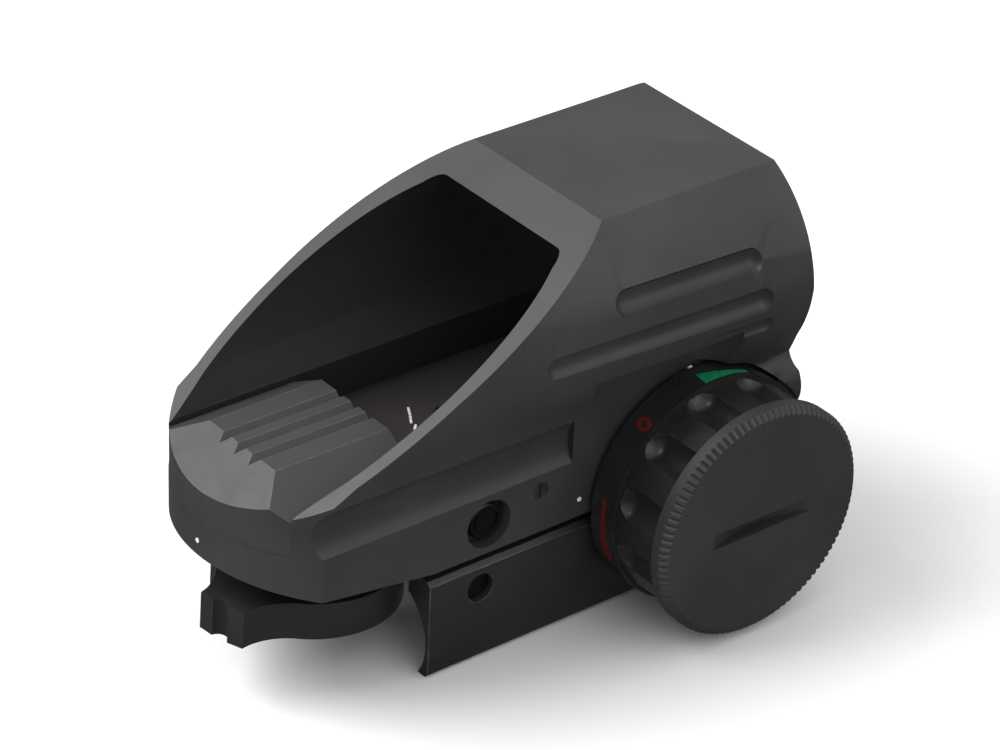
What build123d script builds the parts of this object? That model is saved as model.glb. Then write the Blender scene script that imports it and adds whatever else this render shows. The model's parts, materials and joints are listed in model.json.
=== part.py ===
"""Red dot finder: an open-backed reflex sight on a rail clamp.

The origin is the centre of the rail seat, the flat face that rests on the rail.
+X points to the brightness knob, +Y along the sight line to the lens, +Z up.
Lengths are in millimetres and angles in degrees.
"""
import os
from math import atan, cos, degrees, radians, sin, sqrt

from build123d import *

# Rail clamp
RAIL_HALF = 10.6            # half width of the rail head at its widest line
RAIL_BEVEL = 2.74           # that line's depth below the seat
CLAMP_BACK, CLAMP_FRONT = -21.1, 21.1
CLAMP_HALF = 15.36          # outer face of each jaw
JAW_TOP, JAW_BOTTOM = 7.3, -7.2
BLOCK_HALF, BLOCK_BACK = RAIL_HALF + 0.3, -16.0
BOLT_YS, BOLT_Z, BOLT_R = (-13.1, 10.5), 3.7, 2.0
MOUNT_SCREW_YS, MOUNT_SCREW_R = (-3.4, 4.6), 1.45

# Base of the housing
BASE_BOTTOM, FLOOR = 9.3, 17.9
BASE_HALF = 16.1
REAR, REAR_CORNER = -45.6, -38.2
TILT_START, TILT_SLOPE = -21.1, 0.14
FRONT = 34.0

# Hood
HOOD_BACK = -46.0           # where the rear section of the loft stands
ROOF_HALF, ROOF_Z = 12.93, 49.75
CEILING_Z = 46.9
WIDE_Z, LOW_Z = 35.3, 27.5
WIDE_BACK, WIDE_FRONT = 17.7, 22.24
LOW_BACK, LOW_FRONT = 16.7, 20.0
SHOULDER_BACK, SHOULDER_FRONT = 16.5, 19.2
SHOULDER_Z = 44.0
WALL = 1.8
BAY_HALF = 13.3             # inner half width beside the emitter cover
FLANGE_BACK = 24.0
SILL_Z = 24.2
CUT_TOP, CUT_MIDDLE, CUT_FOOT = (6.4, 50.1), (-16.0, 38.1), (-40.9, 23.3)
COVE_R, COVE_X, COVE_Z = 5.0, 20.0, 21.1
COVE_BACK = -38.4
PAD_BACK, PAD_TOP, PAD_FILLET = 0.4, 31.5, 6.0
# Each groove: its back and front end, height, radius, and its axis's distance off the wall at either end
GROOVES = (
    (3.1, 26.4, 41.6, 1.95, 0.7, 0.75),
    (-8.0, 27.6, 35.9, 1.85, 1.05, 0.6),
    (17.5, 28.3, 31.6, 1.5, 0.9, 0.55),
)

# Brightness knob
KNOB_Y, KNOB_Z = 19.4, 10.0
KNOB_X0, SKIRT_X1, GRIP_X1 = 16.5, 21.4, 29.0
SKIRT_R, GRIP_R = 16.14, 15.6
SPINDLE_R = 3.95
FLUTES, FLUTE_R, FLUTE_OUT = 12, 2.7, 1.4
BATTERY_R, BATTERY_T = 10.0, 3.2
CAP_R, CAP_X0, CAP_X1 = 16.4, 29.2, 31.6
PLUG_R = 12.4
COIN_SLOT, COIN_DEPTH, COIN_HALF = 16.6, 1.7, 1.1

# Reticle selector, with heights from the underside of the base at its axis
SELECTOR_Y = -28.6
SELECTOR_SLOPE = 0.04       # how far its axis leans, as a slope
SELECTOR_R = 12.3
SELECTOR_TOP, SELECTOR_BOTTOM = -3.5, -8.7
SELECTOR_REST = 14.2        # the tab's angle from straight back, towards the knob
SELECTOR_STEP = 26.0        # from one reticle to the next
TAB_R = 16.9
RETICLE_R = 3.3             # how far the light path is from the axis

# Adjusters
WINDAGE_Y, WINDAGE_Z = -12.7, 13.6
ELEVATION_X, ELEVATION_Y = 2.0, -11.9
LOCK_Y, LOCK_Z, LOCK_R = -4.5, 15.5, 1.15
FLOOR_LOCK_X, FLOOR_LOCK_Y = -2.9, -5.6

# Lens and its seat at the front
LENS_BACK, LENS_FRONT, RING_FRONT = 29.0, 32.2, 33.6
SEAT_GROW = 0.9

# Emitter cover
COVER_FRONT, COVER_TOP, COVER_EDGE = -22.0, 26.3, 22.8
RIB_XS = (-3.1, 0.0, 3.1)

FIT = 0.05                  # radial clearance of a running fit


def x_rod(radius, x0, x1, y, z):
    """A cylinder along X."""
    return Pos((x0 + x1) / 2, y, z) * Rot(0, 90, 0) * Cylinder(radius, x1 - x0)


def y_rod(radius, y0, y1, x, z):
    """A cylinder along Y."""
    return Pos(x, (y0 + y1) / 2, z) * Rot(90, 0, 0) * Cylinder(radius, y1 - y0)


def z_rod(radius, z0, z1, x, y):
    """A cylinder along Z."""
    return Pos(x, y, (z0 + z1) / 2) * Cylinder(radius, z1 - z0)


def span(x0, x1, y0, y1, z0, z1):
    """A block from its six faces."""
    return Pos((x0 + x1) / 2, (y0 + y1) / 2, (z0 + z1) / 2) * Box(x1 - x0, y1 - y0, z1 - z0)


def mix(back, front, y):
    """A size that runs evenly from the back of the hood to its front."""
    return back + (front - back) * (y - HOOD_BACK) / (FRONT - HOOD_BACK)


def knob_ring(radius, x0, x1, hole=0.0):
    """A ring or disc on the knob's axis."""
    ring = x_rod(radius, x0, x1, KNOB_Y, KNOB_Z)
    if hole:
        ring -= x_rod(hole, x0 - 1, x1 + 1, KNOB_Y, KNOB_Z)
    return ring


def knob_point(radius, angle, x):
    """A point round the knob's axis; 0 is straight up and 90 is towards the rear."""
    return Pos(x, KNOB_Y - radius * sin(radians(angle)), KNOB_Z + radius * cos(radians(angle)))


def selector_frame():
    """The frame of the selector's axis, with its origin on the underside of the base."""
    height = BASE_BOTTOM + TILT_SLOPE * (TILT_START - SELECTOR_Y)
    return Pos(0, SELECTOR_Y, height) * Rot(-degrees(atan(SELECTOR_SLOPE)), 0, 0)


def wire_across(y, steps):
    """A closed outline across Y, mirrored about X = 0.

    Each step goes on from the last point: one point for a line, two for an arc.
    """
    right = []
    start = steps[0]
    for step in steps[1:]:
        ends = [start, *step] if isinstance(step, list) else [start, step]
        right.append([(x, y, z) for x, z in ends])
        start = ends[-1]
    left = [[(-x, py, z) for x, py, z in reversed(edge)] for edge in reversed(right)]
    crown, foot = steps[0], start
    loop = [[(-crown[0], y, crown[1]), (crown[0], y, crown[1])], *right,
            [(foot[0], y, foot[1]), (-foot[0], y, foot[1])], *left]
    edges = [Edge.make_line(*e) if len(e) == 2 else Edge.make_three_point_arc(*e) for e in loop]
    return Wire(edges)


def hood_outline(y, inset=0.0):
    """The outer outline of the hood, down to the top of the base."""
    wide, low = mix(WIDE_BACK, WIDE_FRONT, y), mix(LOW_BACK, LOW_FRONT, y)
    shoulder = mix(SHOULDER_BACK, SHOULDER_FRONT, y)
    return wire_across(y, [
        (ROOF_HALF - inset, ROOF_Z - inset),
        [(shoulder - inset, SHOULDER_Z - inset / 2), (wide - inset, WIDE_Z)],
        [((wide + low) / 2 + 0.45 - inset, (WIDE_Z + LOW_Z) / 2), (low - inset, LOW_Z)],
        (BASE_HALF - inset, FLOOR + 0.1),
        (BASE_HALF - inset, BASE_BOTTOM + 2),
    ])


def flange_outline(y):
    """The outline of the front flange, with a waist and a lobe above the base."""
    low = mix(LOW_BACK, LOW_FRONT, y)
    waist, lobe = low - 1.4, low + 1.5
    return wire_across(y, [
        (waist - 1.5, LOW_Z - 0.5),
        (waist, 24.9),
        [(waist + 0.55, 23.5), (low + 0.8, 22.4)],
        [(lobe, 20.4), (lobe - 0.6, 17.6)],
        (BASE_HALF, 16.0),
        (BASE_HALF, BASE_BOTTOM + 2),
    ])


def tunnel_outline(y, grow=0.0, foot=FLOOR):
    """The inner outline of the hood, from the ceiling to the floor."""
    wide, low = mix(WIDE_BACK, WIDE_FRONT, y) - WALL, mix(LOW_BACK, LOW_FRONT, y) - WALL
    shoulder = mix(SHOULDER_BACK, SHOULDER_FRONT, y) - WALL
    corner, ceiling = ROOF_HALF + grow / 2, CEILING_Z + grow
    steps = [
        (corner - 1.6, ceiling),
        [(corner - 0.5, ceiling - 0.35), (corner + 0.3, ceiling - 1.2)],
        [(shoulder - 0.1 + grow, SHOULDER_Z - 1.7), (wide + grow, WIDE_Z)],
        [((wide + low) / 2 + 0.45 + grow, (WIDE_Z + LOW_Z) / 2), (low + grow, LOW_Z)],
    ]
    if foot == FLOOR:
        steps += [(BAY_HALF, FLOOR + 5.7), (BAY_HALF, FLOOR)]
    else:
        steps.append((low - 1.2 + grow, foot))
    return wire_across(y, steps)


def loft_between(outline, y0, y1, **sizes):
    """A solid between two sections of one outline."""
    return Solid.make_loft([outline(y0, **sizes), outline(y1, **sizes)], ruled=True)


def plan_limit(grow=0.0):
    """What the rounded rear end leaves, seen from above."""
    sagitta = REAR_CORNER - REAR
    radius = (BASE_HALF ** 2 + sagitta ** 2) / (2 * sagitta)
    centre = REAR + radius
    disc = z_rod(radius + grow, 0, 60, 0, centre)
    return disc + span(-30, 30, centre, FRONT, 0, 60)


def skin_x(y, z):
    """The half width of the hood's side wall above its widest line."""
    x1, z1 = ROOF_HALF, ROOF_Z
    x2, z2 = mix(SHOULDER_BACK, SHOULDER_FRONT, y), SHOULDER_Z
    x3, z3 = mix(WIDE_BACK, WIDE_FRONT, y), WIDE_Z
    a, b = x1 ** 2 + z1 ** 2 - x2 ** 2 - z2 ** 2, x2 ** 2 + z2 ** 2 - x3 ** 2 - z3 ** 2
    twice = 2 * ((x1 - x2) * (z2 - z3) - (x2 - x3) * (z1 - z2))
    cx, cz = (a * (z2 - z3) - b * (z1 - z2)) / twice, ((x1 - x2) * b - (x2 - x3) * a) / twice
    return cx + sqrt((x1 - cx) ** 2 + (z1 - cz) ** 2 - (z - cz) ** 2)


def round_bar(start, end, radius):
    """A bar with ball ends between two points."""
    (x0, y0, z0), (x1, y1, z1) = start, end
    axis = (x1 - x0, y1 - y0, z1 - z0)
    length = sqrt(sum(d * d for d in axis))
    rod = Plane(origin=start, z_dir=axis) * Pos(0, 0, length / 2) * Cylinder(radius, length)
    return rod + Pos(*start) * Sphere(radius) + Pos(*end) * Sphere(radius)


def side_grooves():
    """Three ball-milled grooves in each side wall of the hood."""
    bars = []
    for back, front, z, radius, back_out, front_out in GROOVES:
        y0, y1 = back + radius, front - radius
        x0, x1 = skin_x(y0, z) + back_out, skin_x(y1, z) + front_out
        bars += [round_bar((side * x0, y0, z), (side * x1, y1, z), radius) for side in (-1, 1)]
    return bars


def open_back():
    """Everything above the sloping rear cut."""
    arc = Edge.make_three_point_arc(*[(0, y, z) for y, z in (CUT_TOP, CUT_MIDDLE, CUT_FOOT)])
    corners = [(0, *CUT_FOOT), (0, -60, 12), (0, -60, 70), (0, 12, 70), (0, 12, 53.3), (0, *CUT_TOP)]
    lines = [Edge.make_line(a, b) for a, b in zip(corners, corners[1:])]
    return extrude(Face(Wire([arc, *lines])), 30, dir=(1, 0, 0), both=True)


def lens_seat():
    """The stepped pocket that the lens and its ring drop into from the front."""
    return loft_between(tunnel_outline, LENS_BACK, FRONT + 1, grow=SEAT_GROW, foot=SILL_Z - SEAT_GROW)


def chambers():
    """Pockets, bores and screw holes inside the base."""
    tilt = selector_frame()
    holes = [
        tilt * span(-10.2, 10.2, -9.4, 5.2, 3.0, 20),
        tilt * Cylinder(2.0 + FIT, 20),
        tilt * Pos(0, 4.6, 0) * Cylinder(0.7, 4),
        span(-2.8, 2.8, -26, -16, 12.7, 16.0),
        span(-9.2, 9.2, -17.0, -6.2, 0, 15.9),
        span(-4.6, 5.0, 12.5, 26.5, 0, 15.2),
        knob_ring(SPINDLE_R + FIT, 4, 20),
        knob_ring(6.6, 3.0, 4.99) & span(3, 5, 10, 30, 0, 15.2),
        x_rod(3.4, 13.8, 20, WINDAGE_Y, WINDAGE_Z),
        x_rod(1.0 + FIT, 8, 15, WINDAGE_Y, WINDAGE_Z),
        x_rod(LOCK_R + FIT, 10, 20, LOCK_Y, LOCK_Z),
        z_rod(3.0, 17.0, 20, ELEVATION_X, ELEVATION_Y),
        z_rod(1.0 + FIT, 15, 18, ELEVATION_X, ELEVATION_Y),
        z_rod(1.3 + FIT, 16.6, 20, FLOOR_LOCK_X, FLOOR_LOCK_Y),
        z_rod(0.8 + FIT, 13.8, 18, FLOOR_LOCK_X, FLOOR_LOCK_Y),
        x_rod(0.8 + FIT, 12.0, 20, KNOB_Y, KNOB_Z + 15.2),
    ]
    holes += [z_rod(1.5, 0, 13.4, 0, y) for y in MOUNT_SCREW_YS]
    holes += [z_rod(1.0 + FIT, 0, 30, side * 11.9, -31.0) for side in (-1, 1)]
    holes += [z_rod(1.8 + FIT, 0, 12.9, side * 11.9, -31.0) for side in (-1, 1)]
    return holes


def housing():
    """Base and hood in one piece, with the chambers for everything inside."""
    shell = loft_between(hood_outline, HOOD_BACK, FRONT)
    shell += loft_between(flange_outline, FLANGE_BACK, FRONT)
    shell += span(-BASE_HALF, BASE_HALF, -50, FRONT, BASE_BOTTOM, FLOOR)
    shell &= plan_limit()
    shell += knob_ring(6.5, 5.0, BASE_HALF)
    low_end = (-60, BASE_BOTTOM + TILT_SLOPE * (TILT_START + 60))
    wedge = Plane.YZ * Polyline((TILT_START, BASE_BOTTOM), low_end, (-60, 0), (TILT_START, 0), close=True)
    shell -= extrude(make_face(wedge), 30, both=True)
    shell -= span(BASE_HALF, 30, PAD_BACK, FLANGE_BACK - PAD_FILLET, 0, PAD_TOP)
    shell -= span(BASE_HALF + PAD_FILLET, 30, PAD_BACK, FLANGE_BACK, 0, PAD_TOP)
    shell -= z_rod(PAD_FILLET, 0, PAD_TOP, BASE_HALF + PAD_FILLET, FLANGE_BACK - PAD_FILLET)
    shell -= knob_ring(SKIRT_R + 0.45, BASE_HALF, 40)
    for side, end in ((1, PAD_BACK), (-1, FLANGE_BACK)):
        shell -= y_rod(COVE_R, COVE_BACK, end, side * COVE_X, COVE_Z)
        shell -= Pos(side * COVE_X, COVE_BACK, COVE_Z) * Sphere(COVE_R)
    tunnel = loft_between(tunnel_outline, HOOD_BACK, FRONT + 1)
    tunnel -= span(BASE_HALF - 1.5, 30, PAD_BACK - 1.5, LENS_BACK, 0, PAD_TOP + 1.5)
    shell -= tunnel - span(-30, 30, LENS_BACK - 1.2, FRONT + 2, 0, SILL_Z)
    shell -= span(-BAY_HALF, BAY_HALF, -50, -30, FLOOR, 30)
    shell -= [open_back(), *side_grooves(), lens_seat(), *chambers()]
    return shell


def emitter_cover():
    """The ribbed rear cover, which fills the back of the hood over the selector."""
    half = BAY_HALF - 0.05
    across = make_face(Plane.XZ * Polyline(
        (-half, FLOOR + 0.02), (half, FLOOR + 0.02), (half, COVER_EDGE), (7.0, COVER_TOP),
        (-7.0, COVER_TOP), (-half, COVER_EDGE), close=True))
    block = Pos(0, COVER_FRONT, 0) * extrude(across, 30, dir=(0, -1, 0))
    facet_foot = (REAR + 0.2, COVER_EDGE - 0.4)
    facet_top = (-39.0, COVER_TOP)
    run, rise = facet_top[0] - facet_foot[0], facet_top[1] - facet_foot[1]
    facet = Plane.YZ * Polyline(
        facet_foot, (facet_foot[0] + 3 * run, facet_foot[1] + 3 * rise),
        (facet_foot[0] - 20, facet_foot[1] + 3 * rise), (facet_foot[0] - 20, facet_foot[1] - 20 * rise / run),
        close=True)
    block -= extrude(make_face(facet), 30, both=True)
    block &= plan_limit(-0.1)
    for x in RIB_XS:
        groove = Pos(x, -31.0, COVER_TOP + 0.1) * Rot(0, 45, 0) * Box(1.3, 30, 1.3)
        block -= groove
    block -= span(-10.2, 10.2, -40.4, COVER_FRONT - 1.2, 0, 23.4)
    block -= y_rod(2.2, -30, 0, 0, 20.4)
    for side in (-1, 1):
        block += z_rod(1.9, FLOOR + 0.02, 22.0, side * 11.2, -31.0) & span(-half, half, -40, -22, 0, 30)
        block -= z_rod(0.95, 0, 21.0, side * 11.9, -31.0)
    return block


def cover_screws():
    """The two screws that pull the emitter cover down from below."""
    screws = None
    for side in (-1, 1):
        screw = z_rod(0.9, 10.9, 20.6, side * 11.9, -31.0) + z_rod(1.75, 11.2, 12.85, side * 11.9, -31.0)
        screw -= span(side * 11.9 - 1.3, side * 11.9 + 1.3, -31.25, -30.75, 10, 11.7)
        screws = screw if screws is None else screws + screw
    return screws


def lens():
    """The coated lens: a shallow meniscus in the outline of its seat."""
    blank = loft_between(tunnel_outline, LENS_BACK + 0.05, LENS_FRONT, grow=SEAT_GROW - 0.1,
                         foot=SILL_Z - SEAT_GROW + 0.1)
    radius, middle = 150.0, (CEILING_Z + SILL_Z) / 2
    blank &= Pos(0, LENS_BACK + 0.05 + radius, middle) * Sphere(radius) + span(-30, 30, 31, 40, 0, 60)
    return blank - Pos(0, LENS_FRONT - 0.9 + radius, middle) * Sphere(radius)


def lens_ring():
    """The bezel ring that holds the lens in."""
    sizes = {"grow": SEAT_GROW - 0.05, "foot": SILL_Z - SEAT_GROW + 0.05}
    ring = loft_between(tunnel_outline, LENS_FRONT + 0.02, RING_FRONT, **sizes)
    return ring - loft_between(tunnel_outline, LENS_FRONT - 1, FRONT + 1, grow=-0.6, foot=SILL_Z + 0.6)


def windage_screw():
    """The windage adjuster: a captive disc with a turned ring and a threaded stem."""
    head = x_rod(2.55, 13.85, 15.4, WINDAGE_Y, WINDAGE_Z)
    head = chamfer(head.edges().filter_by(GeomType.CIRCLE).sort_by(Axis.X)[-1], 0.25)
    head -= x_rod(1.9, 15.2, 16, WINDAGE_Y, WINDAGE_Z) - x_rod(1.65, 15.0, 15.35, WINDAGE_Y, WINDAGE_Z)
    return head + x_rod(1.0, 5.4, 13.9, WINDAGE_Y, WINDAGE_Z)


def elevation_screw():
    """The elevation adjuster in the floor of the hood."""
    screw = z_rod(2.2, 17.02, 17.8, ELEVATION_X, ELEVATION_Y)
    screw += z_rod(1.0, 9.7, 17.1, ELEVATION_X, ELEVATION_Y)
    return screw - span(ELEVATION_X - 0.3, ELEVATION_X + 0.3, ELEVATION_Y - 3, ELEVATION_Y + 3, 17.45, 19)


def windage_lock():
    """The small screw that locks the windage adjuster."""
    screw = x_rod(LOCK_R, 10.5, 15.9, LOCK_Y, LOCK_Z)
    return screw - span(15.3, 17, LOCK_Y - 0.2, LOCK_Y + 0.2, LOCK_Z - 2, LOCK_Z + 2)


def elevation_lock():
    """The small screw that locks the elevation adjuster."""
    screw = z_rod(1.3, 16.65, 17.7, FLOOR_LOCK_X, FLOOR_LOCK_Y)
    screw += z_rod(0.8, 14.0, 16.7, FLOOR_LOCK_X, FLOOR_LOCK_Y)
    return screw - span(FLOOR_LOCK_X - 2, FLOOR_LOCK_X + 2, FLOOR_LOCK_Y - 0.2, FLOOR_LOCK_Y + 0.2, 17.2, 18)


def windage_clip():
    """The clip that keeps the windage stem in its wall."""
    return x_rod(1.9, 8.55, 8.95, WINDAGE_Y, WINDAGE_Z) - x_rod(1.0 + FIT, 8, 10, WINDAGE_Y, WINDAGE_Z)


def carrier_guide():
    """The plate that the elevation screw raises and lowers, with its spring ear."""
    plate = span(-8.6, 5.0, -16.6, -6.8, 10.0, 11.6) + span(-8.6, -7.8, -16.6, -8.4, 11.6, 15.0)
    return plate - z_rod(1.0 + FIT, 9, 12, ELEVATION_X, ELEVATION_Y)


def emitter_carrier():
    """The carriage that the windage screw moves, with the arm that holds the prism."""
    block = span(-4.6, 8.0, -16.4, -8.6, 11.65, 15.4)
    block -= span(4.7, 9, WINDAGE_Y - 1.05, WINDAGE_Y + 1.05, 11, 15.0)
    slot = span(ELEVATION_X - 1.6, ELEVATION_X + 1.6, ELEVATION_Y - 1.1, ELEVATION_Y + 1.1, 11, 16)
    block -= slot
    block += span(-2.2, 2.2, -24.0, -16.3, 13.2, 15.5) + span(-2.2, 2.2, -24.0, -23.45, 13.2, 21.0)
    block += span(-3.0, 3.0, -27.9, -23.45, 18.4, 21.0) - span(-1.9, 1.9, -27.3, -24.0, 18, 22)
    return block - y_rod(1.0, -25, -23, 0, 19.7)


def emitter_prism():
    """The prism that turns the light forward to the lens."""
    face = Plane.YZ * Polyline((-27.25, 18.2), (-24.05, 18.2), (-24.05, 21.0), (-27.25, 18.5), close=True)
    return extrude(make_face(face), 1.8, both=True)


def coil(radius, wire, pitch, length):
    """A compression spring that stands on Z = 0."""
    path = Helix(pitch=pitch, height=length, radius=radius)
    return sweep(Plane(origin=path @ 0, z_dir=path % 0) * Circle(wire), path=path, is_frenet=True)


def windage_spring():
    """The spring that takes up the play of the windage screw."""
    return Pos(-7.45, -12.7, 13.4) * Rot(0, 90, 0) * coil(1.1, 0.2, 0.45, 1.8)


def tab_outline():
    """The grip tab seen from above, with a waisted neck and two lugs round a scallop."""
    lug, neck, root = (3.5, -16.5), (4.0, -14.0), (6.6, -10.4)
    sides = [Edge.make_three_point_arc(root, neck, lug)]
    sides.append(Edge.make_three_point_arc((-lug[0], lug[1]), (-neck[0], neck[1]), (-root[0], root[1])))
    inner = (1.25, -TAB_R + 0.1)
    tips = [Edge.make_line(lug, inner), Edge.make_line((-inner[0], inner[1]), (-lug[0], lug[1]))]
    scallop = Edge.make_three_point_arc(inner, (0, -TAB_R + 1.1), (-inner[0], inner[1]))
    base = Edge.make_line((-root[0], root[1]), root)
    return Face(Wire([sides[0], tips[0], scallop, tips[1], sides[1], base]))


def selector_lever():
    """The round reticle selector with its grip tab, boss and shaft."""
    thick = SELECTOR_TOP - SELECTOR_BOTTOM
    disc = Pos(0, 0, (SELECTOR_TOP + SELECTOR_BOTTOM) / 2) * Cylinder(SELECTOR_R, thick)
    tab = Pos(0, 0, SELECTOR_BOTTOM) * extrude(tab_outline(), thick, dir=(0, 0, 1))
    lever = disc + tab + Pos(0, 0, -2.2) * Cylinder(6.0, 2.8) + Pos(0, 0, 2.2) * Cylinder(2.0, 6.0)
    lever -= [Cylinder(1.0, 30), Pos(0, 0, SELECTOR_BOTTOM) * Cylinder(2.1, 3.0)]
    return selector_frame() * (Rot(0, 0, SELECTOR_REST) * lever)


def reticle_wheel():
    """The film wheel with one reticle for each place of the selector."""
    wheel = Pos(0, 0, 5.6) * Cylinder(4.1, 0.7) - Cylinder(1.0, 30)
    for place in range(-1, 3):
        turn = 180 - SELECTOR_REST + SELECTOR_STEP * place
        wheel -= Rot(0, 0, turn) * Pos(0, -RETICLE_R, 5.6) * Cylinder(0.6, 2)
    return selector_frame() * (Rot(0, 0, SELECTOR_REST) * wheel)


def selector_screw():
    """The pivot screw through the selector, its shaft and the reticle wheel."""
    head = SELECTOR_BOTTOM + 0.75
    screw = Pos(0, 0, (head + 6.2) / 2) * Cylinder(0.95, 6.2 - head) + Pos(0, 0, head) * Cylinder(2.0, 1.4)
    screw -= Pos(0, 0, head - 0.7) * Box(3.2, 0.6, 1.0)
    return selector_frame() * screw


def selector_detent():
    """The ball that clicks the selector into its four places."""
    return selector_frame() * Pos(0, 4.6, -0.14) * Sphere(0.65)


def led_board():
    """The small circuit board round the selector's shaft, under the reticle wheel."""
    board = span(-7.0, 7.0, -6.0, 4.1, 3.02, 3.8) - Cylinder(2.15, 20)
    return selector_frame() * board


def emitter_leds():
    """The red and the green light source, side by side on the board."""
    chips = span(-1.3, -0.2, 2.7, 3.9, 3.82, 4.7) + span(0.2, 1.3, 2.7, 3.9, 3.82, 4.7)
    return selector_frame() * chips


def brightness_knob():
    """The fluted rotary knob, hollow for the coin cell and the switch board."""
    knob = knob_ring(SKIRT_R, KNOB_X0, SKIRT_X1)
    rims = knob.edges().filter_by(GeomType.CIRCLE).sort_by(Axis.X)
    knob = chamfer(rims[0], 0.5)
    grip = knob_ring(GRIP_R, SKIRT_X1 - 0.5, GRIP_X1)
    start, end = SKIRT_X1 + FLUTE_R - 0.4, GRIP_X1 + 1
    for index in range(FLUTES):
        angle = 360 / FLUTES * (index + 0.5)
        flute = Rot(0, 90, 0) * Cylinder(FLUTE_R, end - start)
        grip -= knob_point(GRIP_R + FLUTE_OUT, angle, (start + end) / 2) * flute
        grip -= knob_point(GRIP_R + FLUTE_OUT, angle, start) * Sphere(FLUTE_R)
    knob += grip
    knob -= knob_ring(14.4, KNOB_X0 - 1, 19.0)
    knob += knob_ring(6.2, 17.6, 19.1)
    knob += knob_ring(SPINDLE_R, 3.4, 19.5)
    knob -= knob_ring(SPINDLE_R + 1, 3.9, 4.6, hole=3.3)
    knob -= knob_ring(BATTERY_R + 0.3, 21.0, GRIP_X1 + 1)
    knob -= knob_ring(PLUG_R + FIT, 25.7, GRIP_X1 + 1)
    return knob - knob_ring(1.5, 0, 22)


def knob_clip():
    """The ring clip on the inner end of the knob's spindle."""
    clip = knob_ring(5.2, 3.98, 4.52, hole=3.32)
    return clip - span(3, 5, KNOB_Y - 1.6, KNOB_Y + 1.6, KNOB_Z - 7, KNOB_Z)


def skirt_wedge(angle, corners):
    """A thin inlaid patch on the knob's skirt.

    Its corners are (x, distance round the skirt) pairs, seen square on at the angle.
    """
    ring = knob_ring(SKIRT_R + 0.08, KNOB_X0, SKIRT_X1, hole=SKIRT_R + 0.01)
    frame = Pos(0, KNOB_Y, KNOB_Z) * Rot(angle, 0, 0)
    return ring & frame * extrude(make_face(Polyline(*corners, close=True)), 20)


def green_marks():
    """The green wedge that widens with brightness."""
    return skirt_wedge(-5.0, [(18.6, -2.8), (20.9, -3.1), (20.7, 4.3), (20.2, 4.3), (19.6, 0.3)])


def red_marks():
    """The red wedge that widens with brightness."""
    return skirt_wedge(96.0, [(19.0, 4.7), (19.5, 4.7), (20.3, -4.7), (18.8, -4.7)])


def switch_board():
    """The ring-shaped circuit board of the brightness switch."""
    return knob_ring(11.5, BASE_HALF + 0.02, 17.0, hole=4.6)


def wiper():
    """The brass contact ring that turns with the knob and rubs on the board."""
    ring = knob_ring(9.4, 18.5, 18.98, hole=6.6)
    for index in range(3):
        ring += knob_point(8.0, 120 * index, 17.8) * Box(1.5, 1.2, 1.2)
    return ring


def contact_sleeve():
    """The insulating sleeve through the knob's spindle."""
    return knob_ring(1.48, 3.0, 21.2, hole=0.96) + knob_ring(6.5, 21.02, 21.4, hole=0.96)


def contact_rod():
    """The centre contact that carries the current in to the board."""
    return knob_ring(0.94, 2.6, 21.5) + knob_ring(3.0, 21.42, 21.7)


def battery_spring():
    """The three-fingered spring under the coin cell."""
    spring = knob_ring(5.5, 21.72, 21.95)
    for index in range(3):
        angle = 120 * index + 60
        start, end = knob_point(4.5, angle, 21.95).position, knob_point(7.5, angle, 22.3).position
        middle = (start + end) / 2
        spring += Pos(22.08, middle.Y, middle.Z) * Rot(-angle, 0, 0) * Box(0.3, 1.6, 4.6)
    return spring


def battery():
    """The coin cell."""
    cell = knob_ring(BATTERY_R, 22.3, 22.3 + BATTERY_T)
    return fillet(cell.edges().filter_by(GeomType.CIRCLE), 0.4)


def battery_cap():
    """The knurled cap with its coin slot and plug."""
    cap = knob_ring(CAP_R, CAP_X0, CAP_X1)
    rim = cap.edges().filter_by(GeomType.CIRCLE).sort_by(Axis.X)
    cap = chamfer(rim[-1], 0.8)
    cap += knob_ring(PLUG_R, 26.0, CAP_X0 + 0.1)
    cap -= knob_ring(PLUG_R + 1, 28.0, 29.0, hole=11.6)
    cap -= knob_ring(10.6, 25, 28.2)
    cutter = (COIN_SLOT ** 2 / 4 + COIN_DEPTH ** 2) / (2 * COIN_DEPTH)
    return cap - z_rod(cutter, KNOB_Z - COIN_HALF, KNOB_Z + COIN_HALF, CAP_X1 - COIN_DEPTH + cutter, KNOB_Y)


def cap_seal():
    """The rubber ring that seals the cap."""
    return Pos(28.5, KNOB_Y, KNOB_Z) * Rot(0, 90, 0) * Torus(12.05, 0.4)


def cap_contact():
    """The sprung disc inside the cap that presses on the coin cell."""
    disc = knob_ring(10.4, 27.9, 28.18)
    return disc + knob_ring(6.0, 25.6, 27.95, hole=5.4)


def click_ball():
    """The ball that steadies the knob in each of its places."""
    return Pos(15.65, KNOB_Y, KNOB_Z + 15.2) * Sphere(0.78)


def click_spring():
    """The spring behind the knob's ball."""
    return Pos(12.2, KNOB_Y, KNOB_Z + 15.2) * Rot(0, 90, 0) * coil(0.55, 0.12, 0.42, 2.4)


def jaw_steps():
    """The inner profile of a jaw, from the seat down to the clamp's lower edge."""
    notch = BLOCK_HALF + 0.05
    return [(notch, -0.1), (notch, -RAIL_BEVEL - 0.35), (8.5, -5.35), (8.5, -6.4), (9.3, JAW_BOTTOM)]


def jaw_profile(inner_top):
    """A closed jaw outline in X and Z."""
    edge = 0.6
    return [*inner_top, *jaw_steps(), (CLAMP_HALF - edge, JAW_BOTTOM), (CLAMP_HALF, JAW_BOTTOM + edge),
            (CLAMP_HALF, JAW_TOP - edge), (CLAMP_HALF - edge, JAW_TOP)]


def rear_scoop(side):
    """The hollow behind each jaw that clears the selector."""
    return y_rod(7.7, CLAMP_BACK - 1, BLOCK_BACK + 1.0, side * 7.0, -2.7)


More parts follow.
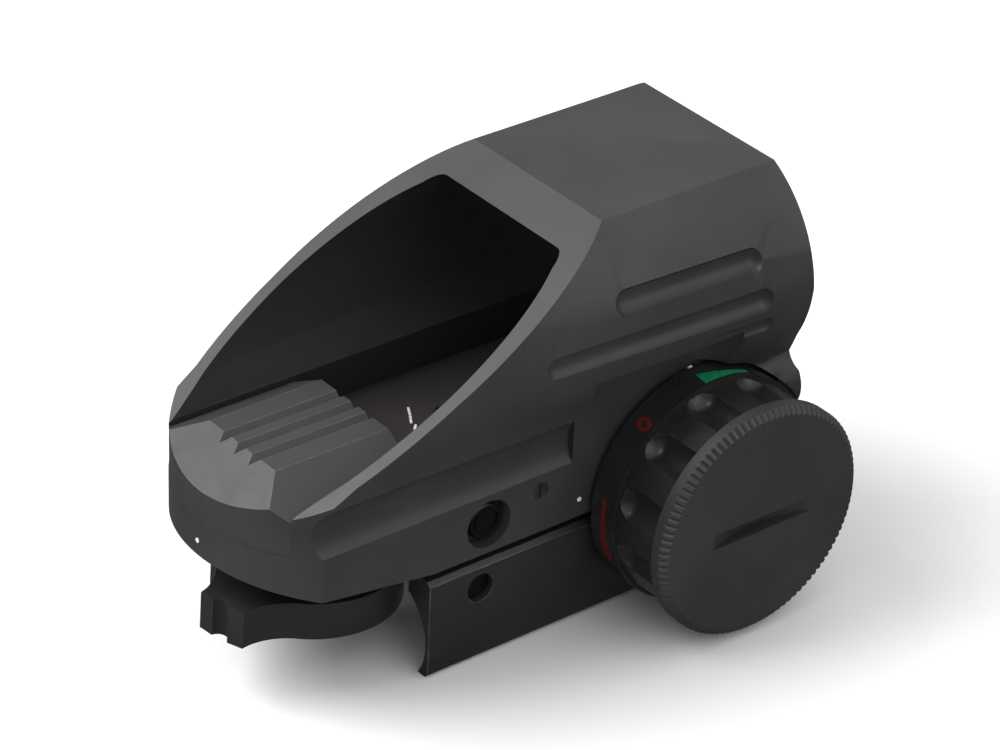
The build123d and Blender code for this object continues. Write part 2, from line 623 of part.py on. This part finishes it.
def jaw_solid(inner_top, side):
    """One jaw, the whole length of the clamp."""
    outline = [(side * x, z) for x, z in jaw_profile(inner_top)]
    jaw = extrude(make_face(Plane.XZ * Polyline(*outline, close=True)), CLAMP_FRONT, both=True)
    return jaw - rear_scoop(side)


def mount_block():
    """The rail seat and the fixed jaw in one piece, screwed under the base."""
    block = span(-BLOCK_HALF, BLOCK_HALF, BLOCK_BACK, CLAMP_FRONT, 0, BASE_BOTTOM)
    block += jaw_solid([(BLOCK_HALF, JAW_TOP), (BLOCK_HALF, 0)], 1)
    block -= knob_ring(6.8, -4.8, 30)
    for y in BOLT_YS:
        block -= x_rod(BOLT_R + 0.15, -20, BLOCK_HALF, y, BOLT_Z)
        block -= x_rod(BOLT_R + FIT, 5, 20, y, BOLT_Z)
    for y in MOUNT_SCREW_YS:
        block -= z_rod(2.6, -1, 2.7, 0, y)
        block -= z_rod(1.5, 0, 12, 0, y)
    return block


def mount_screws():
    """The two screws that hold the clamp to the housing."""
    screws = None
    for y in MOUNT_SCREW_YS:
        screw = z_rod(2.5, 0.4, 2.68, 0, y) + z_rod(MOUNT_SCREW_R, 2.6, 13.0, 0, y)
        screw -= Pos(0, y, 0.9) * extrude(RegularPolygon(1.25, 6), 1.2, both=True)
        screws = screw if screws is None else screws + screw
    return screws


def clamp_jaw():
    """The sliding jaw on the far side from the knob."""
    jaw = jaw_solid([(BLOCK_HALF + 0.15, JAW_TOP), (BLOCK_HALF + 0.15, -0.1)], -1)
    for y in BOLT_YS:
        jaw -= x_rod(BOLT_R + FIT, -20, -5, y, BOLT_Z)
    return jaw


def clamp_bolt(y):
    """A cross bolt with a slotted hexagon head on the sliding jaw's side."""
    hexagon = extrude(RegularPolygon(3.9, 6), 1.65, both=True)
    head = Pos(-CLAMP_HALF - 1.7, y, BOLT_Z) * Rot(0, 90, 0) * hexagon
    bolt = head + x_rod(BOLT_R, -CLAMP_HALF - 0.1, CLAMP_HALF - 0.9, y, BOLT_Z)
    slot_x = -CLAMP_HALF - 3.4
    return bolt - span(slot_x - 1, slot_x + 1.1, y - 4.5, y + 4.5, BOLT_Z - 0.5, BOLT_Z + 0.5)


def index_dots():
    """The paint-filled dots that the selector and the knob are read against."""
    rear = y_rod(0.33, REAR - 0.08, REAR, 0, 14.9)
    side = x_rod(0.33, BASE_HALF + 0.01, BASE_HALF + 0.07, 1.85, 11.9)
    return rear + side


def parts():
    """Every piece of the sight under its node name."""
    return {
        "housing": housing(),
        "emitter_cover": emitter_cover(),
        "cover_screws": cover_screws(),
        "lens": lens(),
        "lens_ring": lens_ring(),
        "windage_screw": windage_screw(),
        "windage_clip": windage_clip(),
        "windage_lock": windage_lock(),
        "elevation_screw": elevation_screw(),
        "elevation_lock": elevation_lock(),
        "carrier_guide": carrier_guide(),
        "emitter_carrier": emitter_carrier(),
        "emitter_prism": emitter_prism(),
        "windage_spring": windage_spring(),
        "selector_lever": selector_lever(),
        "reticle_wheel": reticle_wheel(),
        "selector_screw": selector_screw(),
        "selector_detent": selector_detent(),
        "led_board": led_board(),
        "emitter_leds": emitter_leds(),
        "brightness_knob": brightness_knob(),
        "knob_clip": knob_clip(),
        "green_marks": green_marks(),
        "red_marks": red_marks(),
        "switch_board": switch_board(),
        "wiper": wiper(),
        "contact_sleeve": contact_sleeve(),
        "contact_rod": contact_rod(),
        "battery_spring": battery_spring(),
        "battery": battery(),
        "battery_cap": battery_cap(),
        "cap_seal": cap_seal(),
        "cap_contact": cap_contact(),
        "click_ball": click_ball(),
        "click_spring": click_spring(),
        "mount_block": mount_block(),
        "mount_screws": mount_screws(),
        "clamp_jaw": clamp_jaw(),
        "clamp_bolt_rear": clamp_bolt(BOLT_YS[0]),
        "clamp_bolt_front": clamp_bolt(BOLT_YS[1]),
        "index_dots": index_dots(),
    }


os.makedirs("parts", exist_ok=True)
for node, shape in parts().items():
    export_step(shape, f"parts/{node}.step")
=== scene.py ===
"""Looks of the red dot finder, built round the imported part. Metres, in the part's own frame."""

import json
from math import cos, pi, radians, sin

import bmesh
import bpy
from mathutils import Matrix, Vector


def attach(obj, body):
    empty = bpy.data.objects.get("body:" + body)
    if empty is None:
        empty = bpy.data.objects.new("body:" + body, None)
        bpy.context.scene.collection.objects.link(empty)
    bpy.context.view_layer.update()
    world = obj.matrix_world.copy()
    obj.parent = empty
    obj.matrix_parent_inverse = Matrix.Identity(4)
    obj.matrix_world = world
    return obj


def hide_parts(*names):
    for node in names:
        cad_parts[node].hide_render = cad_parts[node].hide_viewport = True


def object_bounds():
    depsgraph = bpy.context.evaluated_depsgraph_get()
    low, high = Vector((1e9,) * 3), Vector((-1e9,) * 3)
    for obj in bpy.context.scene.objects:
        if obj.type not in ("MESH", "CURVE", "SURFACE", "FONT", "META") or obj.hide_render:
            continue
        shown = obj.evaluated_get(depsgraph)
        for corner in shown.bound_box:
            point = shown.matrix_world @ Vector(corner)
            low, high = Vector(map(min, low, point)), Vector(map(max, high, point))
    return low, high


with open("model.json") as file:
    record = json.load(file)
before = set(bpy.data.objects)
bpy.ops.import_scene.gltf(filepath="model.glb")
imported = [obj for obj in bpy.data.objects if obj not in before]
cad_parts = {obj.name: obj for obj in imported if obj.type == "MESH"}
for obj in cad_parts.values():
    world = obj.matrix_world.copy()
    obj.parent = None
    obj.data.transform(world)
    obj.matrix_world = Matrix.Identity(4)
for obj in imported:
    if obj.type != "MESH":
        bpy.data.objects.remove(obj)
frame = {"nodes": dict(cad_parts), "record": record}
cad_low, cad_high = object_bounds()
nodes = frame["nodes"]
MM = 0.001

# ---------------------------------------------------------------- camera
AZIMUTH, ELEVATION, ROLL = radians(50.840), radians(31.373), radians(2.463)
SHIFT_RIGHT, SHIFT_UP, DISTANCE = -1.240, 24.468, 511.72
AIM = Vector((0.0, 4.1, -7.2))
LENS_MM, SENSOR_MM = 138.74, 36.0


def make_camera():
    """The camera at the angle and distance of the reference view."""
    back = Vector((sin(AZIMUTH) * cos(ELEVATION), -cos(AZIMUTH) * cos(ELEVATION), sin(ELEVATION)))
    level = Vector((cos(AZIMUTH), sin(AZIMUTH), 0.0))
    over = back.cross(level)
    right = cos(ROLL) * level + sin(ROLL) * over
    up = cos(ROLL) * over - sin(ROLL) * level
    data = bpy.data.cameras.new("camera")
    data.sensor_width = SENSOR_MM
    data.lens = LENS_MM
    camera = bpy.data.objects.new("camera", data)
    bpy.context.scene.collection.objects.link(camera)
    turn = Matrix((right, up, back)).transposed().to_4x4()
    place = (SHIFT_RIGHT * right + SHIFT_UP * up + DISTANCE * back + AIM) * MM
    camera.matrix_world = Matrix.Translation(place) @ turn
    bpy.context.scene.camera = camera


make_camera()


# ---------------------------------------------------------------- materials
class Graph:
    """A material's node graph, with short calls for what every material here uses."""

    def __init__(self, name):
        self.material = bpy.data.materials.new(name)
        self.material.use_nodes = True
        self.tree = self.material.node_tree
        self.shader = self.tree.nodes["Principled BSDF"]
        self.place = self.add("ShaderNodeTexCoord").outputs["Object"]

    def add(self, kind, **values):
        node = self.tree.nodes.new(kind)
        for key, value in values.items():
            if hasattr(node, key):
                setattr(node, key, value)
            else:
                node.inputs[key.replace("_", " ")].default_value = value
        return node

    def link(self, a, b):
        self.tree.links.new(a, b)

    def noise(self, per_mm, detail=3.0, rough=0.55, stretch=None):
        tex = self.add("ShaderNodeTexNoise", Scale=per_mm * 1000.0, Detail=detail, Roughness=rough)
        source = self.place
        if stretch:
            mapping = self.add("ShaderNodeMapping")
            mapping.inputs["Scale"].default_value = stretch
            self.link(source, mapping.inputs["Vector"])
            source = mapping.outputs["Vector"]
        self.link(source, tex.inputs["Vector"])
        return tex.outputs["Fac"]

    def ramp(self, source, low, high, a=0.0, b=1.0):
        node = self.add("ShaderNodeMapRange")
        node.inputs["From Min"].default_value = low
        node.inputs["From Max"].default_value = high
        node.inputs["To Min"].default_value = a
        node.inputs["To Max"].default_value = b
        self.link(source, node.inputs["Value"])
        return node.outputs["Result"]

    def mix(self, factor, a, b):
        node = self.add("ShaderNodeMix", data_type="RGBA")
        for value, slot in ((a, 6), (b, 7)):
            if isinstance(value, tuple):
                node.inputs[slot].default_value = (*value, 1.0)
            else:
                self.link(value, node.inputs[slot])
        if isinstance(factor, float):
            node.inputs[0].default_value = factor
        else:
            self.link(factor, node.inputs[0])
        return node.outputs[2]

    def math(self, operation, a, b=None):
        node = self.add("ShaderNodeMath", operation=operation)
        for slot, value in enumerate((a, b)):
            if isinstance(value, (int, float)):
                node.inputs[slot].default_value = value
            elif value is not None:
                self.link(value, node.inputs[slot])
        return node.outputs[0]

    def bump(self, height, distance_mm, strength=1.0, under=None):
        node = self.add("ShaderNodeBump", Strength=strength, Distance=distance_mm * MM)
        self.link(height, node.inputs["Height"])
        if under is not None:
            self.link(under, node.inputs["Normal"])
        return node.outputs["Normal"]

    def attribute(self, name):
        return self.add("ShaderNodeAttribute", attribute_name=name).outputs["Fac"]

    def set(self, **values):
        for key, value in values.items():
            socket = self.shader.inputs[key.replace("_", " ")]
            if isinstance(value, bpy.types.NodeSocket):
                self.link(value, socket)
            elif isinstance(value, tuple):
                socket.default_value = (*value, 1.0)
            else:
                socket.default_value = value
        return self.material


def anodised(name, dark, light, rough=0.42):
    """Blasted and black anodised aluminium: fine grain, cloudy dye, rubbed edges lightened as edge wear and
    painted edge highlight, and a dull matte inside darkened as painted shade.
    """
    g = Graph(name)
    grain = 0.012
    cloud = g.ramp(g.noise(0.06, 2.0), 0.35, 0.65)
    fine = g.noise(9.0, 2.0, 0.6)
    tone = g.mix(cloud, dark, light)
    speck = g.ramp(g.noise(3.2, 1.0, 0.4), 0.74, 0.80)
    tone = g.mix(g.math("MULTIPLY", speck, 0.18), tone, (0.12, 0.115, 0.11))
    # rounded edges turn lighter: edge wear, and also a painted edge highlight
    rubbed_and_highlight = g.math("MULTIPLY", g.attribute("edge_wear_and_highlight"), g.ramp(g.noise(0.7, 3.0), 0.36, 0.7, 0.15, 0.9))
    tone = g.mix(rubbed_and_highlight, tone, (0.16, 0.16, 0.165))
    # inside of the hood: a matte black inner finish, plus painted shade that darkens the tunnel
    shade = g.attribute("inner_matte_shade")
    tone = g.mix(shade, tone, (0.019, 0.016, 0.015))
    roughness = g.ramp(g.noise(0.35, 3.0), 0.3, 0.7, rough - 0.05, rough + 0.06)
    roughness = g.math("ADD", roughness, g.math("MULTIPLY", shade, 0.4))
    normal = g.bump(fine, grain, 0.5, g.bump(g.noise(1.6, 2.0), grain * 1.3, 0.25))
    return g.set(Base_Color=tone, Roughness=roughness, Normal=normal, Specular_IOR_Level=0.5)


def metal(name, colour, rough, scratch=(40.0, 1.0, 40.0), deep=0.004):
    """Turned or drawn metal with fine lines along it."""
    g = Graph(name)
    lines = g.noise(0.5, 4.0, 0.6, stretch=scratch)
    tone = g.mix(g.ramp(g.noise(0.25, 3.0), 0.35, 0.7), colour, tuple(c * 0.72 for c in colour))
    return g.set(Base_Color=tone, Metallic=1.0, Roughness=g.ramp(lines, 0.3, 0.7, rough - 0.07, rough + 0.1),
                 Normal=g.bump(lines, deep, 0.6))


def paint(name, colour, rough=0.5):
    """Paint in an engraving: slightly uneven, with fine dust."""
    g = Graph(name)
    tone = g.mix(g.ramp(g.noise(1.5, 3.0), 0.35, 0.7), colour, tuple(c * 0.7 for c in colour))
    return g.set(Base_Color=tone, Roughness=g.ramp(g.noise(2.0), 0.3, 0.7, rough - 0.08, rough + 0.1),
                 Normal=g.bump(g.noise(6.0), 0.01, 0.5))


def plastic(name, colour, rough=0.45):
    """Moulded plastic or rubber with a fine texture."""
    g = Graph(name)
    tone = g.mix(g.ramp(g.noise(0.4, 3.0), 0.35, 0.7), colour, tuple(c * 0.8 for c in colour))
    return g.set(Base_Color=tone, Roughness=g.ramp(g.noise(1.5), 0.3, 0.7, rough - 0.06, rough + 0.08),
                 Normal=g.bump(g.noise(5.0), 0.01, 0.4))


def coated_glass(name, tint, rough=0.02):
    """Glass with a thin reflecting coat."""
    g = Graph(name)
    smear = g.ramp(g.noise(0.12, 3.0), 0.45, 0.75, rough, rough + 0.05)
    tone = g.mix(g.ramp(g.noise(0.1, 2.0), 0.3, 0.7), tint, tuple(c * 0.9 for c in tint))
    return g.set(Base_Color=tone, Roughness=smear, IOR=1.5, Transmission_Weight=1.0)


M = {
    "body": anodised("body_anodised", (0.030, 0.029, 0.030), (0.040, 0.038, 0.038)),
    "cover": anodised("cover_anodised", (0.032, 0.031, 0.031), (0.040, 0.039, 0.038), rough=0.46),
    # the lever's black is set darker than the body's as painted shade, for where it sits in shadow under the base
    "lever": anodised("lever_anodised_painted_shade", (0.015, 0.015, 0.016), (0.022, 0.022, 0.023), rough=0.38),
    "knob": anodised("knob_anodised", (0.014, 0.014, 0.015), (0.022, 0.022, 0.023), rough=0.30),
    # the cap's black is set lighter than the knob's as painted light on its end face
    "cap": anodised("cap_anodised_painted_light", (0.026, 0.026, 0.027), (0.034, 0.034, 0.035), rough=0.45),
    "clamp": anodised("clamp_anodised", (0.016, 0.016, 0.017), (0.024, 0.024, 0.025), rough=0.4),
    "ring": anodised("ring_anodised", (0.016, 0.016, 0.017), (0.022, 0.022, 0.022), rough=0.5),
    "oxide": metal("black_oxide", (0.06, 0.06, 0.065), 0.38),
    "steel": metal("bright_steel", (0.55, 0.55, 0.56), 0.3),
    "brass": metal("brass", (0.72, 0.52, 0.24), 0.32),
    "black_plastic": plastic("black_plastic", (0.02, 0.02, 0.021)),
    "white_plastic": plastic("white_plastic", (0.75, 0.74, 0.7)),
    "board": plastic("solder_mask", (0.010, 0.022, 0.014), 0.45),
    "film": plastic("reticle_film", (0.03, 0.03, 0.03), 0.25),
    "led": plastic("led_resin", (0.8, 0.74, 0.55), 0.15),
    "seal": plastic("seal_rubber", (0.015, 0.015, 0.015), 0.7),
    "green": paint("green_paint", (0.006, 0.28, 0.11)),
    "red": paint("red_paint", (0.13, 0.006, 0.006)),
    "white": paint("white_paint", (0.8, 0.8, 0.8)),
    "lens": coated_glass("lens_glass", (0.92, 0.80, 0.78)),
    "prism": coated_glass("prism_glass", (0.95, 0.95, 0.95)),
}

FINISH = {
    "housing": "body", "emitter_cover": "cover", "cover_screws": "steel", "lens": "lens", "lens_ring": "ring",
    "windage_screw": "oxide", "windage_clip": "steel", "windage_lock": "steel", "elevation_screw": "oxide",
    "elevation_lock": "steel", "carrier_guide": "brass", "emitter_carrier": "black_plastic",
    "emitter_prism": "prism", "windage_spring": "steel", "selector_lever": "lever", "reticle_wheel": "film",
    "selector_screw": "steel", "selector_detent": "steel", "led_board": "board", "emitter_leds": "led",
    "brightness_knob": "knob", "knob_clip": "steel", "green_marks": "green", "red_marks": "red",
    "switch_board": "board", "wiper": "brass", "contact_sleeve": "white_plastic", "contact_rod": "brass",
    "battery_spring": "brass", "battery": "steel", "battery_cap": "cap", "cap_seal": "seal",
    "cap_contact": "brass", "click_ball": "steel", "click_spring": "steel", "mount_block": "clamp",
    "mount_screws": "oxide", "clamp_jaw": "clamp", "clamp_bolt_rear": "oxide", "clamp_bolt_front": "oxide",
    "index_dots": "white",
}
for name, node in nodes.items():
    node.data.materials.clear()
    node.data.materials.append(M[FINISH[name]])

BODY_OF = {n: b for b, members in frame["record"]["behaviour"]["bodies"].items() for n in members}


def add_piece(name, mesh, body, material):
    """Links a new mesh as a piece that rides on a body."""
    piece = bpy.data.objects.new(name, mesh)
    bpy.context.scene.collection.objects.link(piece)
    mesh.materials.clear()
    mesh.materials.append(material)
    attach(piece, body)
    return piece


def inside_hood(face):
    """Whether a face of the housing looks into the tunnel of the hood."""
    at, n = face.calc_center_median() / MM, face.normal
    wall = abs(n.x) > 0.55 and n.x * at.x < 0 and at.z > 17.5 and abs(n.y) < 0.5
    ceiling = n.z < -0.5 and at.z > 40.0
    floor = n.z > 0.9 and 17.0 < at.z < 18.5 and at.y > -37.0
    step = n.y < -0.8 and abs(at.x) < 16.0 and 18.0 < at.z < 46.0 and at.y > -15.0
    return wall or ceiling or floor or step


WELD_MM = 0.003             # how near two corners of neighbouring CAD faces are to count as one
FLAT, CREASE, SHARP = radians(0.3), radians(10.0), radians(38.0)
ROUND_STEPS, ROUND_PROFILE = 2, 0.6


def fine_mesh(mesh, width_mm, inside=None):
    """Rounds the convex edges where the faces of a CAD mesh meet, and marks the rounding for lighter edge wear
    with a painted edge highlight; faces chosen by inside are marked for the dark matte inside with painted shade.
    """
    work = bmesh.new()
    work.from_mesh(mesh)
    border = work.edges.layers.int.new("border")
    for edge in work.edges:
        edge[border] = int(edge.is_boundary)
        edge.smooth = not edge.is_boundary
    edge_wear_and_highlight = work.faces.layers.float.new("edge_wear_and_highlight")
    inner_matte_shade = work.faces.layers.float.new("inner_matte_shade")
    bmesh.ops.remove_doubles(work, verts=work.verts, dist=WELD_MM * MM)
    bmesh.ops.dissolve_limit(work, angle_limit=FLAT, verts=work.verts, edges=work.edges,
                             delimit={"SHARP"})
    chosen = [e for e in work.edges
              if e[border] and e.is_manifold and e.is_convex and e.calc_face_angle() > CREASE]
    made = bmesh.ops.bevel(work, geom=chosen, offset=width_mm * MM, segments=ROUND_STEPS,
                           profile=ROUND_PROFILE, affect="EDGES", clamp_overlap=True, loop_slide=True)
    # faces made by the rounding carry the lighter edge wear, which also serves as a painted edge highlight
    for face in made["faces"]:
        face[edge_wear_and_highlight] = 1.0
    for face in work.faces:
        face.smooth = True
        # faces looking into the hood get the dark matte inside, which is also painted shade
        if inside and inside(face):
            face[inner_matte_shade] = 1.0
    for edge in work.edges:
        edge.smooth = not (edge.is_manifold and edge.calc_face_angle() > SHARP)
    result = bpy.data.meshes.new("fine")
    work.to_mesh(result)
    work.free()
    return result


def refined(node, width_mm, inside=None, tool=None):
    """A copy of a CAD node with rounded edges, which then stands for it."""
    mesh = cut(nodes[node].data, tool) if tool else nodes[node].data
    mesh = fine_mesh(mesh, width_mm, inside=inside)
    mesh.name = node + "_fine"
    piece = add_piece(node + "_fine", mesh, BODY_OF[node], M[FINISH[node]])
    keep = piece.modifiers.new("even", "WEIGHTED_NORMAL")
    keep.keep_sharp = True
    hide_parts(node)
    return piece


def mesh_from(name, points, faces):
    """A mesh from part-frame millimetres."""
    mesh = bpy.data.meshes.new(name)
    mesh.from_pydata([tuple(c * MM for c in p) for p in points], [], faces)
    mesh.update()
    return mesh


# ---------------------------------------------------------------- stage and light
def make_stage():
    """A pale floor under the clamp."""
    mesh = bpy.data.meshes.new("floor")
    reach = 4.0
    height = cad_low.z
    corners = [(-reach, -reach, height), (reach, -reach, height), (reach, reach, height), (-reach, reach, height)]
    mesh.from_pydata(corners, [], [(0, 1, 2, 3)])
    floor = bpy.data.objects.new("floor", mesh)
    bpy.context.scene.collection.objects.link(floor)
    g = Graph("floor_paper")
    mesh.materials.append(g.set(Base_Color=(0.93, 0.93, 0.93), Roughness=0.9))
    floor.visible_glossy = False


def area_light(name, place, aim, size, power, colour=(1, 1, 1)):
    """A soft square light at a place in metres, turned to an aim."""
    data = bpy.data.lights.new(name, "AREA")
    data.shape = "SQUARE"
    data.size = size
    data.energy = power
    data.color = colour
    light = bpy.data.objects.new(name, data)
    bpy.context.scene.collection.objects.link(light)
    light.location = place
    light.rotation_mode = "QUATERNION"
    light.rotation_quaternion = (Vector(aim) - Vector(place)).to_track_quat("-Z", "Y")
    return light


def make_world():
    """Soft light from all round, brighter above than below."""
    world = bpy.data.worlds.new("studio")
    bpy.context.scene.world = world
    world.use_nodes = True
    tree = world.node_tree
    coords = tree.nodes.new("ShaderNodeTexCoord")
    split = tree.nodes.new("ShaderNodeSeparateXYZ")
    ramp = tree.nodes.new("ShaderNodeMapRange")
    ramp.inputs["From Min"].default_value = -0.05
    ramp.inputs["From Max"].default_value = 0.9
    ramp.inputs["To Min"].default_value = 0.08
    ramp.inputs["To Max"].default_value = 0.90
    tree.links.new(coords.outputs["Generated"], split.inputs[0])
    tree.links.new(split.outputs["Z"], ramp.inputs["Value"])
    tree.links.new(ramp.outputs["Result"], tree.nodes["Background"].inputs["Strength"])
    tree.nodes["Background"].inputs["Color"].default_value = (1, 1, 1, 1)


make_stage()
make_world()
area_light("key", (-0.40, -0.55, 0.75), (0, 0, 0.02), 0.7, 11.0, (1.0, 0.98, 0.955))
area_light("side", (0.85, 0.15, 0.60), (0, 0, 0.03), 1.1, 3.0, (0.95, 0.96, 1.0))

bpy.context.scene.view_settings.view_transform = "Standard"

def cut(mesh, tool):
    """A mesh with a cutting mesh taken away."""
    base, cutter = bpy.data.objects.new("base", mesh.copy()), bpy.data.objects.new("cutter", tool)
    for thing in (base, cutter):
        bpy.context.scene.collection.objects.link(thing)
    weld = base.modifiers.new("weld", "WELD")
    weld.merge_threshold = WELD_MM * MM
    carve = base.modifiers.new("carve", "BOOLEAN")
    carve.operation, carve.solver, carve.object = "DIFFERENCE", "EXACT", cutter
    ready = base.evaluated_get(bpy.context.evaluated_depsgraph_get())
    result = bpy.data.meshes.new_from_object(ready)
    for thing in (base, cutter):
        bpy.data.objects.remove(thing)
    return result


KNOB_Y, KNOB_Z, SKIRT_R = 19.4, 10.0, 16.14
TEETH, NOTCH_HALF, BEVEL_R = 100, 0.45, 16.0
NOTCH_FOOT = (16.75, 30.1, 15.2, 31.65)     # radius and x at either end of a notch's bottom line
NOTCH_RIM = (16.95, 30.42, 15.6, 31.77)     # the same for its two upper lines
NUMERAL_ANGLE, NUMERAL_X, NUMERAL_STEPS = radians(40.0), 19.5, 24
NUMERAL_TALL, NUMERAL_WIDE, NUMERAL_HOLE = 1.25, 0.95, 0.45
PAINT_UNDER, PAINT_OVER = 0.005, 0.045


def round_knob(radius, angle, x):
    """A point about the knob's axis in millimetres; 0 is straight up and 90 is to the rear."""
    return (x, KNOB_Y - radius * sin(angle), KNOB_Z + radius * cos(angle))


def knurl_tool():
    """Radial V notches along the bevel of the battery cap."""
    points, faces = [], []
    for index in range(TEETH):
        middle = 2 * pi * index / TEETH
        half = NOTCH_HALF / BEVEL_R
        for turn, (r0, x0, r1, x1) in ((0.0, NOTCH_FOOT), (-half, NOTCH_RIM), (half, NOTCH_RIM)):
            points.append(round_knob(r0, middle + turn, x0))
            points.append(round_knob(r1, middle + turn, x1))
        k = 6 * index
        faces += [(k, k + 1, k + 3, k + 2), (k + 2, k + 3, k + 5, k + 4), (k + 4, k + 5, k + 1, k),
                  (k, k + 2, k + 4), (k + 1, k + 5, k + 3)]
    mesh = mesh_from("knurl_tool", points, faces)
    work = bmesh.new()
    work.from_mesh(mesh)
    bmesh.ops.recalc_face_normals(work, faces=work.faces)
    work.to_mesh(mesh)
    work.free()
    return mesh


def floor_marks():
    """The painted tick and arrow beside the elevation adjuster."""
    z0, z1 = 17.9, 17.93
    width = 0.16
    strokes = [
        [(-6.2, -8.8), (-4.5, -9.75), (-3.0, -10.7)],
        [(-2.3, -10.5), (-1.5, -11.3), (-0.5, -11.3), (-1.5, -9.2)],
    ]
    outlines = []
    for stroke in strokes:
        for (ax, ay), (bx, by) in zip(stroke, stroke[1:]):
            along = Vector((bx - ax, by - ay)).normalized() * width
            wide = Vector((-along.y, along.x))
            a, b = Vector((ax, ay)) - along * 0.5, Vector((bx, by)) + along * 0.5
            outlines.append([tuple(a - wide), tuple(b - wide), tuple(b + wide), tuple(a + wide)])
    points, faces = [], []
    for outline in outlines:
        k, n = len(points), len(outline)
        points += [(x, y, z0) for x, y in outline] + [(x, y, z1) for x, y in outline]
        faces.append(tuple(range(k + n, k + 2 * n)))
        faces += [(k + i, k + (i + 1) % n, k + n + (i + 1) % n, k + n + i) for i in range(n)]
    add_piece("floor_marks", mesh_from("floor_marks", points, faces), "sight", M["white"])


def skirt_numeral():
    """The red nought on the knob's skirt, a ring of paint that follows the curve."""
    points, faces = [], []
    for index in range(NUMERAL_STEPS):
        turn = 2 * pi * index / NUMERAL_STEPS
        for reach in (NUMERAL_HOLE, 1.0):
            x = NUMERAL_X + NUMERAL_TALL * reach * cos(turn)
            angle = NUMERAL_ANGLE + NUMERAL_WIDE * reach * sin(turn) / SKIRT_R
            points.append(round_knob(SKIRT_R + PAINT_UNDER, angle, x))
            points.append(round_knob(SKIRT_R + PAINT_OVER, angle, x))
    for index in range(NUMERAL_STEPS):
        a, b = 4 * index, 4 * ((index + 1) % NUMERAL_STEPS)
        faces += [(a + 1, a + 3, b + 3, b + 1), (a, a + 1, b + 1, b), (a + 2, b + 2, b + 3, a + 3)]
    add_piece("skirt_numeral", mesh_from("skirt_numeral", points, faces), "knob", M["red"])


refined("housing", 0.35, inside=inside_hood)
for node, width in (("emitter_cover", 0.45), ("mount_block", 0.25), ("clamp_jaw", 0.25), ("selector_lever", 0.25),
                    ("brightness_knob", 0.25), ("lens_ring", 0.2), ("windage_screw", 0.08),
                    ("clamp_bolt_rear", 0.15), ("clamp_bolt_front", 0.15)):
    refined(node, width)
refined("battery_cap", 0.10, tool=knurl_tool())
floor_marks()
skirt_numeral()
